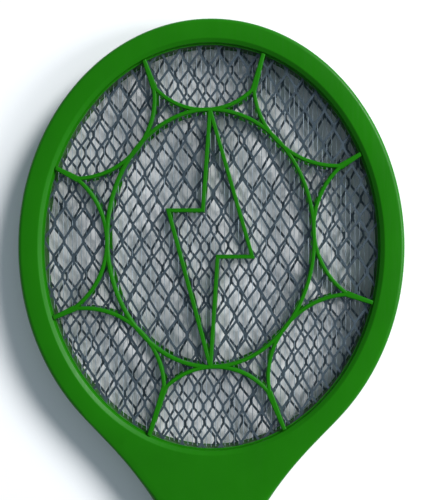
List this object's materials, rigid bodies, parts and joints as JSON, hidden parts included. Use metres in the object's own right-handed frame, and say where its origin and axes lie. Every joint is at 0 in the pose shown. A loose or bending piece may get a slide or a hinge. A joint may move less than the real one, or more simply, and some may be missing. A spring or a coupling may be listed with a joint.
{
  "type": "electric fly swatter",
  "caption": "Racket-shaped electric fly swatter with layered mesh electrodes behind moulded guards, and a hollow handle with cells, board, switch and button.",
  "frame": {"origin": "under the middle of the racket's length and width, on the surface that its flat back lies on", "axes": "+X across the racket to the right as seen from the front, +Y from the butt to the head, +Z out of the front face"},
  "size_m": [0.206, 0.48, 0.0316],
  "materials": {
    "shell_green": "satin moulded plastic",
    "mesh_metal": "dull rolled expanded metal",
    "grid_metal": "drawn wire",
    "insulator": "dark moulded plastic",
    "lead_red": "smooth insulation",
    "lead_black": "smooth insulation",
    "cell_wrap": "printed shrink wrap with no lettering",
    "nickel": "nickel plate",
    "board": "solder mask",
    "ferrite": "sintered",
    "winding_tape": "wound tape",
    "capacitor": "dipped",
    "black_plastic": "moulded",
    "resistor": "lacquer with colour bands",
    "led": "clear moulded",
    "clear_red": "polished",
    "button_yellow": "satin moulded plastic",
    "steel": "zinc plate"
  },
  "bodies": {
    "racket": {"front_frame": "shell_green", "rear_frame": "shell_green", "front_guard": "shell_green", "rear_guard": "shell_green", "front_mesh": "mesh_metal", "rear_mesh": "mesh_metal", "middle_grid": "grid_metal", "front_spacer": "insulator", "rear_spacer": "insulator", "front_mesh_lead": "lead_red", "rear_mesh_lead": "lead_red", "middle_grid_lead": "lead_black", "positive_lead": "lead_red", "negative_lead": "lead_black", "battery_1": "cell_wrap", "battery_2": "cell_wrap", "battery_spring_1": "nickel", "battery_spring_2": "nickel", "battery_link_plate": "nickel", "positive_contact": "nickel", "negative_contact": "nickel", "circuit_board": "board", "transformer_core": "ferrite", "transformer_winding": "winding_tape", "storage_capacitor": "capacitor", "transistor": "black_plastic", "diode_1": "black_plastic", "resistor_1": "resistor", "resistor_2": "resistor", "zap_switch_body": "black_plastic", "power_switch_body": "black_plastic", "indicator_led": "led", "indicator_window": "clear_red", "button_spring": "steel", "head_screw_1": "steel", "head_screw_2": "steel", "head_screw_3": "steel", "head_screw_4": "steel", "head_screw_5": "steel", "head_screw_6": "steel", "head_screw_7": "steel", "handle_screw_1": "steel", "handle_screw_2": "steel"},
    "battery_cover": {"battery_cover": "shell_green"},
    "zap_button": {"zap_button": "button_yellow"},
    "power_switch": {"power_switch_knob": "black_plastic"}
  },
  "joints": [
    {"name": "cover_slide", "type": "slide", "parent": "racket", "child": "battery_cover", "axis": [0, -1, 0], "range_m": [0, 0.07]},
    {"name": "button_press", "type": "slide", "parent": "racket", "child": "zap_button", "axis": [0, 0, -1], "range_m": [0, 0.0022], "stiffness_N_per_m": 400, "springref_m": -0.001, "deforming": ["button_spring"]},
    {"name": "switch_slide", "type": "slide", "parent": "racket", "child": "power_switch", "axis": [0, 1, 0], "range_m": [0, 0.004]}
  ]
}
